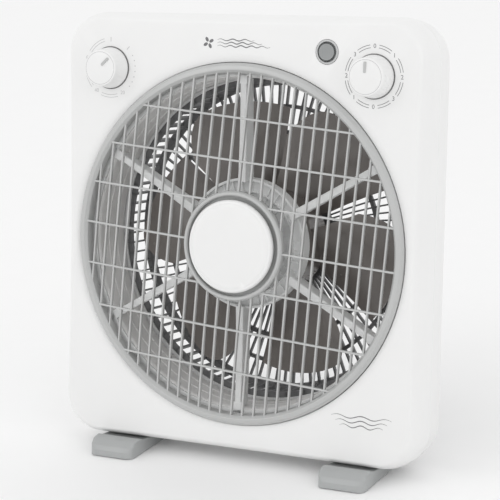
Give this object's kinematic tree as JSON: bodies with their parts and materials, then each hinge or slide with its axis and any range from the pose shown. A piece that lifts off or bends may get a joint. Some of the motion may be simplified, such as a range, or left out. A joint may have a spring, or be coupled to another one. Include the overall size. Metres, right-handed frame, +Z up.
{
  "type": "box fan",
  "caption": "Free-standing box fan with a round motor-turned front grille, smoky blades, two dials and a push button, leaning back on wedge feet.",
  "frame": {"origin": "middle of the floor under the fan, at the centre of its bounding box", "axes": "+Z up, the front faces -Y, +X to the right seen from the front; the body leans back 8 degrees, so the fan axis is (0, 0.990, -0.139)"},
  "size_m": [0.364, 0.1722, 0.4061],
  "materials": {
    "white_housing": "satin injection-moulded white",
    "white_knob": "satin white",
    "gray_grille": "satin light gray",
    "gray_foot": "satin mid gray",
    "gray_guard": "satin mid gray",
    "pale_duct": "satin pale gray",
    "smoke_blade": "glossy smoky gray-brown",
    "silver_ring": "satin silver",
    "rubber_pad": "matt",
    "steel": "zinc plated",
    "iron_bell": "plain",
    "brass_bush": "sintered",
    "copper_wire": "enamelled wire",
    "black_part": "matt black"
  },
  "bodies": {
    "root": {"rear_guard": "gray_guard", "front_panel": "white_housing", "rear_housing": "white_housing", "spider": "pale_duct", "duct_ring": "pale_duct", "motor_front_bell": "iron_bell", "motor_rear_bell": "iron_bell", "wiring_loom": "black_part", "motor_rear_cover": "white_housing", "cord_gland": "black_part", "foot_left": "gray_foot", "foot_right": "gray_foot", "grille_motor": "steel", "stator_stack": "steel", "button_bezel": "silver_ring", "front_winding": "copper_wire", "rear_winding": "copper_wire", "speed_switch": "black_part", "front_bush": "brass_bush", "rear_bush": "brass_bush", "timer_works": "pale_duct", "speed_switch_nut": "steel", "timer_nut": "steel", "grille_motor_screw_1": "steel", "grille_motor_screw_2": "steel", "foot_screw_left": "steel", "foot_screw_right": "steel", "housing_screw_1": "steel", "housing_screw_2": "steel", "housing_screw_3": "steel", "housing_screw_4": "steel", "duct_screw_1": "steel", "guard_screw_1": "steel", "duct_screw_2": "steel", "guard_screw_2": "steel", "duct_screw_3": "steel", "guard_screw_3": "steel", "duct_screw_4": "steel", "guard_screw_4": "steel", "push_switch": "black_part", "terminal_block": "pale_duct", "motor_bolt_1": "steel", "motor_bolt_2": "steel", "foot_pad_left_front": "rubber_pad", "foot_pad_left_rear": "rubber_pad", "foot_pad_right_front": "rubber_pad", "foot_pad_right_rear": "rubber_pad", "run_capacitor": "black_part"},
    "fan": {"fan_rotor": "smoke_blade", "blade_nut": "smoke_blade", "fan_shaft": "steel", "rotor_core": "steel"},
    "front_grille": {"grille": "gray_grille", "grille_cap": "white_knob", "grille_drive_shaft": "steel"},
    "speed_dial": {"speed_knob": "white_knob", "speed_spindle": "steel"},
    "timer_dial": {"timer_knob": "white_knob", "timer_spindle": "steel"},
    "grille_switch_button": {"grille_button": "gray_grille"}
  },
  "joints": [
    {"name": "fan_spin", "type": "hinge", "parent": "root", "child": "fan", "pos_m": [0, 0.02185, 0.19435], "axis": [0, 0.9903, -0.1392], "continuous": true},
    {"name": "grille_spin", "type": "hinge", "parent": "root", "child": "front_grille", "pos_m": [0, -0.03757, 0.2027], "axis": [0, 0.9903, -0.1392], "continuous": true},
    {"name": "speed_dial_turn", "type": "hinge", "parent": "root", "child": "speed_dial", "pos_m": [0.1326, -0.01576, 0.35787], "axis": [0, 0.9903, -0.1392], "continuous": true},
    {"name": "timer_dial_turn", "type": "hinge", "parent": "root", "child": "timer_dial", "pos_m": [-0.1326, -0.01576, 0.35787], "axis": [0, 0.9903, -0.1392], "range_deg": [-45, 270]},
    {"name": "grille_button_press", "type": "slide", "parent": "root", "child": "grille_switch_button", "axis": [0, 0.9903, -0.1392], "range_m": [0, 0.004], "stiffness_N_per_m": 300}
  ]
}
